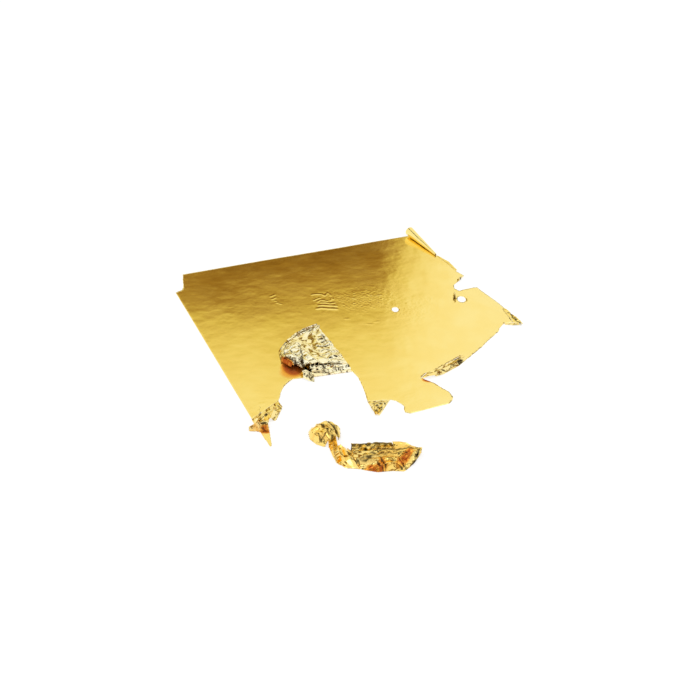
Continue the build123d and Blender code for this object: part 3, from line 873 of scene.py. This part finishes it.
def crumpled_foil(node, body, slot, shift, step, deep=fold_depths):
    """Replace a folded solid by a fine copy of it, with every point moved by shift(x, y, z)."""
    foil = bmesh.new()
    foil.from_mesh(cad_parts[node].data)
    bmesh.ops.remove_doubles(foil, verts=foil.verts, dist=weld)
    bmesh.ops.triangulate(foil, faces=foil.faces)
    points = np.array([vert.co for vert in foil.verts])
    faces = [tuple(vert.index for vert in face.verts) for face in foil.faces]
    foil.free()
    points, faces = split_finely(points, faces, step)
    x, y, z = points.T
    moved = points + np.column_stack(shift(x, y, z))
    moved[:, 2] -= groove_depth * crease_depths(x, y) * smooth(z, 0.1 * mm, 0.7 * mm)
    moved[:, 2] = np.maximum(moved[:, 2], least_height * z)
    mesh = bpy.data.meshes.new(node)
    mesh.from_pydata(moved.tolist(), [], faces)
    mesh.set_sharp_from_angle(angle=sharp_angle)
    return foil_body(f"{node}_skin", mesh, body, slot, [node], deep)


# %% [markdown]
# ## Lining the seams
# The real foil is one skin, but the plies of this model are separate and leave narrow seams. A
# liner is a sheet just under them, which shows through the seams as more foil. It covers what
# the plies cover, and any place between two of them that lie close on opposite sides.

# %% Lining the seams
liner_step = 0.25 * mm
liner_floor = 0.1 * mm
beside_ply = 0.3 * mm


def foil_below(name, nodes, body, slot, reach, drop, deep):
    """A sheet of foil just under some plies, which closes the seams between them."""
    tree = solid_tree(nodes)
    low = np.min([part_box(node)[0] for node in nodes], axis=0)
    high = np.max([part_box(node)[1] for node in nodes], axis=0)
    above = Vector((0, 0, high[2] + mm))
    steps = np.linspace(0, reach, 4)[1:]
    sides = [Vector((math.cos(turn), math.sin(turn), 0)) for turn in np.arange(6) * math.pi / 6]

    def under(place):
        return tree.ray_cast(place + above, Vector((0, 0, -1)))[0]

    def near(place):
        if under(place):
            return True
        hit = tree.find_nearest(place)[0]
        return math.hypot(hit.x - place.x, hit.y - place.y) < beside_ply

    def between(place):
        return any(
            any(near(place + side * away) for away in steps)
            and any(near(place - side * away) for away in steps)
            for side in sides
        )

    number_of, points = {}, []
    for i, x in enumerate(np.arange(low[0], high[0], liner_step)):
        for j, y in enumerate(np.arange(low[1], high[1], liner_step)):
            place = Vector((x, y, 0))
            hit = under(place)
            if hit is None:
                hit = tree.find_nearest(place)[0]
                if math.hypot(hit.x - x, hit.y - y) > reach or not between(place):
                    continue
            number_of[i, j] = len(points)
            points.append((x, y, max(hit.z - drop, liner_floor)))
    faces = []
    for i, j in number_of:
        square = [(i, j), (i + 1, j), (i + 1, j + 1), (i, j + 1)]
        if all(corner in number_of for corner in square):
            faces.append([number_of[corner] for corner in square])
    mesh = bpy.data.meshes.new(name)
    mesh.from_pydata(points, [], faces)
    return thickened(foil_body(name, mesh, body, slot, [], deep))


# %% [markdown]
# ## The flat sheet
# Most of the leaf lies flat, but never quite: it rides over small swells of air, which bend the
# edge of the brown reflection, and carries a fine ripple and dimples. Where it was handled it has
# marks of three kinds: rubbed places with bundles of parallel folds, pebbled places, and single
# ridges, which are listed one by one because the eye knows the leaf by them. All are heights in
# one relief, so they run into each other as they do in foil.

# %% Flat sheet
swell_height = 0.055 * mm
ripple_height = 0.011 * mm
dimple_height = 0.0035 * mm
# Each rubbed place: its middle, its reach, the turn of its folds in degrees and their height
rubbed_places = [
    ((-60.0, -46.0), (8.0, 5.0), 60, 0.06),
    ((42.0, 6.0), (6.0, 4.0), 60, 0.06),
]
# Each pebbled place, where the leaf took the grain of what lay under it: middle, reach, height
pebbled_places = [
    ((10.0, 17.0), (17.0, 10.0), 0.012),
    ((-4.0, 25.0), (8.0, 6.0), 0.007),
    ((30.0, -1.0), (14.0, 9.0), 0.009),
    ((-3.0, -60.5), (10.0, 6.0), 0.009),
]
# Single ridges: the route of each, how far its flanks reach and its height, in millimetres
single_ridges = [
    ([(-10.5, 29.7), (-9.6, 29.8), (-7.9, 29.4), (-6, 28.5), (-5.3, 27.1)], 0.75, 0.075),
    ([(-4.8, 26.8), (-3.1, 28.7), (-2.4, 27.6), (-2.6, 25.9)], 0.7, 0.07),
    ([(-11.6, 24.8), (-9.8, 25.5), (-8.1, 25.7)], 0.7, 0.07),
    ([(-10.6, 22.9), (-9.2, 23.6), (-7.4, 23.1), (-6, 21.8)], 0.7, 0.07),
    ([(-4.5, 21.5), (-3.2, 23.5), (-2.6, 22.1)], 0.6, 0.06),
    ([(-9.4, 21.5), (-7.4, 20.8), (-5.8, 19.3), (-3.3, 19.2)], 0.75, 0.075),
    ([(-11.3, 19.4), (-9.5, 19.2), (-7.1, 17.8), (-4.1, 16.2)], 1.1, 0.105),
    ([(-13.2, 17), (-11.4, 17), (-9.6, 16), (-7.5, 14.7), (-5.2, 13.7)], 1.2, 0.115),
    ([(-5.1, 4), (-3.5, 3.6)], 0.7, 0.065),
    ([(2.1, -3.5), (3.6, -4.3), (4.8, -4.5)], 0.6, 0.055),
    ([(6.4, -3.3), (8.3, -3.5)], 0.6, 0.055),
    ([(14.7, 20.9), (15.4, 19)], 0.6, 0.05),
    ([(18.2, 17.9), (19.6, 17.7)], 0.6, 0.055),
    ([(6.1, 19.9), (7.4, 19.1)], 0.6, 0.05),
    ([(-29.6, 35), (-26.7, 36)], 0.6, 0.06),
    ([(-29.8, 32.3), (-27.5, 33.3)], 0.6, 0.06),
    ([(-28.9, 28.5), (-27.5, 26.9)], 0.6, 0.06),
    ([(-29, 30.7), (-28, 28.9)], 0.5, 0.04),
    ([(-22.6, 17.2), (-22, 15.5)], 0.5, 0.04),
]
fold_width = 1.0 * mm
ridge_spacing = 1.3 * mm
# Round places where the skin has finer points: middle and radius, in millimetres
fine_places = [
    ((-6.8, 22.0), 11), ((12, 16), 15), ((30, -1), 14), ((-28.5, 31), 5), ((-60, -46), 8), ((-3, -60), 10),
]
# The field under the open mouth of the folded tongue mirrors its orange underside, and so does the
# corner of the tab under the mouth of the long tear, and that reflection is painted into their colour
mouth = [
    ((-42.6, -24.6), (4.6, 6.0), 0, 1.0),
    ((-44.2, -26.8), (4.6, 5.0), 60, 0.4),
    ((7.1, -52.7), (2.8, 1.5), -27, 1.0),
]
# The few creases of the flat sheet itself, listed as those of the crumple are: painted shade only,
# with no groove
sheet_creases = [
    ([(-10.2, 30.3), (-9.3, 30.6), (-7.6, 30.2), (-5.6, 29.1)], 0.45, 0.6),
    ([(-4.6, 27.3), (-3, 29.1)], 0.4, 0.5),
    ([(-5.6, 19.7), (-4.2, 19.6), (-3.1, 19.7)], 0.45, 0.65),
    ([(-9.3, 24.7), (-8.2, 24.4), (-5.8, 23)], 0.35, 0.4),
    ([(-12.4, 18), (-10.9, 18.1), (-9.2, 16.8), (-7.2, 15.5), (-4.9, 14.8)], 0.5, 0.65),
    ([(-44.1, -21.8), (-43.1, -25.7)], 2.2, 0.45),
    ([(-64.3, -43.6), (-66.8, -50.2)], 0.25, 0.6),
]


def swells(x, y):
    """The soft relief that every flat part of the sheet shares."""
    return (
        swell_height * waves(x, y, 90 * mm, 25 * mm, 11)
        + ripple_height * waves(x, y, 12 * mm, 4 * mm, 12, 40)
        + dimple_height * waves(x, y, 3.2 * mm, 1.6 * mm, 13, 60)
    )


def patch(x, y, middle, reach, seed):
    """A soft round mask with an uneven rim."""
    dx, dy = (x / mm - middle[0]) / reach[0], (y / mm - middle[1]) / reach[1]
    return smooth(1.2 - np.hypot(dx, dy) + 0.3 * waves(x, y, 5 * mm, 2 * mm, seed, 10), 0, 0.9)


def rubbed(x, y):
    """Bundles of short folds, pebbled places and single ridges where the leaf was handled."""
    total = np.zeros_like(x)
    for number, (middle, reach, turn, height) in enumerate(rubbed_places):
        angle = math.radians(turn)
        across = turned(x, y, angle)[1]
        bend = 1.6 * waves(x, y, 8 * mm, 2.5 * mm, 80 + number, 10)
        ridges = np.cos(across * 2 * math.pi / ridge_spacing + bend)
        folds = 0.4 + 0.25 * facets(x, y, fold_width, 60 + number, angle, 2.6) + 0.15 * ridges
        total += patch(x, y, middle, reach, 40 + number) * height * mm * folds
    for number, (middle, reach, height) in enumerate(pebbled_places):
        pebbles = 1 + waves(x, y, 1.9 * mm, 0.95 * mm, 90 + number, 40)
        total += patch(x, y, middle, reach, 50 + number) * height * mm * pebbles
    for route, reach, height in single_ridges:
        total += height * mm * crease(x, y, [(ax * mm, ay * mm) for ax, ay in route], reach * mm)
    return total


def sheet_relief(x, y):
    """All that raises the flat sheet above its solid."""
    return swells(x, y) + rubbed(x, y)


sheet_steps = (0.7 * mm, 0.3 * mm)
sheet_ragged = 0.06 * mm
laid_foil(
    "leaf_field", "leaf", "leaf_face", sheet_relief, sheet_steps, fine_places, sheet_ragged, 1,
    lambda x, y, z, up: pocket_depths(x, y, mouth), lambda x, y: crease_depths(x, y, sheet_creases),
)

# %% [markdown]
# ## Crumples along the torn edges
# Where the sheet was torn, its margin is crushed into small facets. Near the flat sheet the
# crumple dies away, because there the foil is still part of it, so the facets grow with the
# height of the solid beneath them.

# %% Crumpled margins
# Finer facets on top of the others, and how far the foil moves sideways for its height
fine_share, fine_ratio, side_share = 0.35, 2.3, 0.3


def crumple(size, slope, seed, turn=0, stretch=1.0):
    """A shift of facets about size across and as steep as slope."""
    angle = math.radians(turn)

    def shift(x, y, z):
        free = lifted(z)
        height = slope * size * facets(x, y, size, seed, angle, stretch)
        height += fine_share * slope * size * facets(x, y, size / fine_ratio, seed + 10, angle, stretch)
        side = free * (side_share * slope * size)
        return side * facets(y, z, size, seed + 20), side * facets(x, z, size, seed + 30), free * height

    return shift


corner_shift = crumple(2.2 * mm, 0.16, 101, 60, 1.6)
tear_shift = crumple(1.6 * mm, 0.1, 108, 18, 4.5)
point_shift = crumple(1.6 * mm, 0.3, 105, 70, 2.0)
margins = [
    ("corner_pleats", "leaf_creased", corner_shift),
    ("corner_tent", "leaf_creased", crumple(2.2 * mm, 0.07, 101, 60, 1.6)),
    ("corner_spike", "leaf_face", corner_shift),
    ("side_hem", "leaf_face", crumple(1.2 * mm, 0.3, 104, 80, 2.5)),
    ("notch_curl", "leaf_creased", crumple(1.2 * mm, 0.3, 111)),
    ("pinhole_curl", "leaf_creased", crumple(1.2 * mm, 0.3, 112)),
    ("point_lip", "leaf_face", point_shift),
    ("point_front_lip", "leaf_creased", point_shift),
    ("tear_mouth", "leaf_creased", tear_shift),
    ("tear_ridge", "leaf_creased", tear_shift),
    ("tab_crumple", "leaf_creased", crumple(1.6 * mm, 0.3, 109, 50, 3.0)),
    ("crease_tail", "leaf_reverse", crumple(1.6 * mm, 0.4, 110, -30, 1.6)),
]
for node, slot, shift in margins:
    deep = hollow_depths if node == "corner_tent" else fold_depths
    crumpled_foil(node, "leaf", slot, shift, crumple_step, deep)


def seam_depths(x, y, z, up):
    """Foil seen only through a seam is always deep in a fold, so it always gets some painted shade."""
    return np.maximum(fold_depths(x, y, z, up), seam_depth)


foil_below("corner_inside", ["corner_pleats", "corner_tent", "corner_spike"], "leaf", "leaf_creased",
           0.9 * mm, 0.3 * mm, seam_depths)

# %% [markdown]
# ## The folded tongue
# The tongue was torn out of the arch and folded back, so its reverse is up, with a paler tint that is
# a painted highlight for the light its crushed facets catch. It is the most crushed part of the leaf:
# pleats that run along the fold in front, a fan of pleats on the right, a frill on the left over an
# open mouth, and fine facets on its broad face. All its plies share one relief, so that the crumple
# runs on from one to the next.

# %% Folded tongue
fold_left = Vector((-41.5, -32.3)) * mm
fold_right = Vector((-20.0, -35.2)) * mm
fold_turn = math.atan2(fold_right.y - fold_left.y, fold_right.x - fold_left.x)


def tongue_shift(x, y, z):
    """Facets everywhere, pleats along the fold in front, a fan on the right and a frill on the left."""
    along, behind = turned(x - fold_left.x, y - fold_left.y, fold_turn)
    front = 1 - smooth(behind, 5 * mm, 11 * mm)
    right = smooth(along, 12 * mm, 17 * mm) * smooth(behind, 7 * mm, 12 * mm)
    left = 1 - smooth(along, 1 * mm, 6 * mm)
    height = 0.3 * facets(x, y, 3.4 * mm, 201, 1.0, 1.3) + 0.12 * facets(x, y, 1.5 * mm, 202)
    height = height + 0.8 * front * facets(x, y, 1.7 * mm, 203, fold_turn, 4)
    height = height + 0.3 * right * facets(x, y, 1.2 * mm, 204, fold_turn + 0.3, 5)
    height = height + 0.45 * left * facets(x, y, 1.5 * mm, 205, fold_turn, 1.8)
    free = lifted(z) * mm
    return free * 0.2 * facets(y, z, 2 * mm, 206), free * 0.2 * facets(x, z, 2 * mm, 207), free * height


tongue_nodes = ["flap_front_pleats", "flap_face", "flap_tip", "flap_ruffle", "flap_back_hem"]
for node in tongue_nodes:
    crumpled_foil(node, "front_flap", "leaf_reverse", tongue_shift, crumple_step, hollow_depths)
foil_below("tongue_inside", tongue_nodes, "front_flap", "leaf_reverse", 0.4 * mm, 0.5 * mm, seam_depths)

# %% [markdown]
# ## The rolled edge
# The right edge of the sheet has rolled itself into a narrow cone. The foil is under tension
# there, so it stays smooth, with a few long dents along the roll.

# %% Rolled edge
roll_dents = crumple(2.5 * mm, 0.03, 121, 90, 5.0)
for node in ("edge_roll", "roll_inner_turn"):
    crumpled_foil(node, "rolled_edge", "leaf_face", roll_dents, crumple_step)

# %% [markdown]
# ## The loose scrap
# The scrap is a strip of the same leaf, pressed together by fingers: a round head with a band
# wrapped over it, a neck that stands on its edge, and a body of long pleats that open towards the
# tip into two deep pockets, where gold mirrors gold and turns orange.

# %% Loose scrap
body_turn = math.radians(-10)
# The belly is one smooth fold
belly = [((-46.0, -86.5), (4.5, 6.5), 15, 1.0)]


def scrap_shift(x, y, z):
    """Facets on the head and the belly, and long pleats on the body, steeper towards its tip."""
    pleated = smooth(x, -46 * mm, -43.5 * mm)
    height = 0.5 * facets(x, y, 2.6 * mm, 311) + 0.16 * facets(x, y, 1.2 * mm, 312)
    height = height * (1 - 0.5 * pleated) + 0.85 * pleated * facets(x, y, 1.8 * mm, 313, body_turn, 6)
    height = height + 0.14 * pleated * facets(x, y, 0.9 * mm, 314, body_turn, 3)
    height = height * (1 - 0.8 * pocket_depths(x, y, belly))
    free = lifted(z) * mm
    return free * 0.25 * facets(y, z, 2 * mm, 315), free * 0.25 * facets(x, z, 2 * mm, 316), free * height


scrap_nodes = [
    "scrap_head", "scrap_head_band", "scrap_neck", "scrap_belly", "scrap_pleats",
    "scrap_front_folds", "scrap_tip",
]
neck_lean, neck_spread = 0.45, 1.3 * mm
neck_low, neck_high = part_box("scrap_neck")


def neck_shift(x, y, z):
    """The neck leans over, so that it shows its side, and spreads where it leaves the head."""
    right, back, up = scrap_shift(x, y, z)
    near_head = smooth(y, neck_low.y, neck_high.y)
    spread = neck_spread * near_head * (1 - z / neck_high.z)
    return 0.3 * right + neck_lean * z - spread, 0.3 * back + near_head * mm, 0.3 * up


for node in scrap_nodes:
    shift = neck_shift if node == "scrap_neck" else scrap_shift
    crumpled_foil(node, "scrap", "scrap_leaf", shift, crumple_step)
foil_below("scrap_inside", scrap_nodes, "scrap", "scrap_leaf", 1.5 * mm, 0.35 * mm, seam_depths)
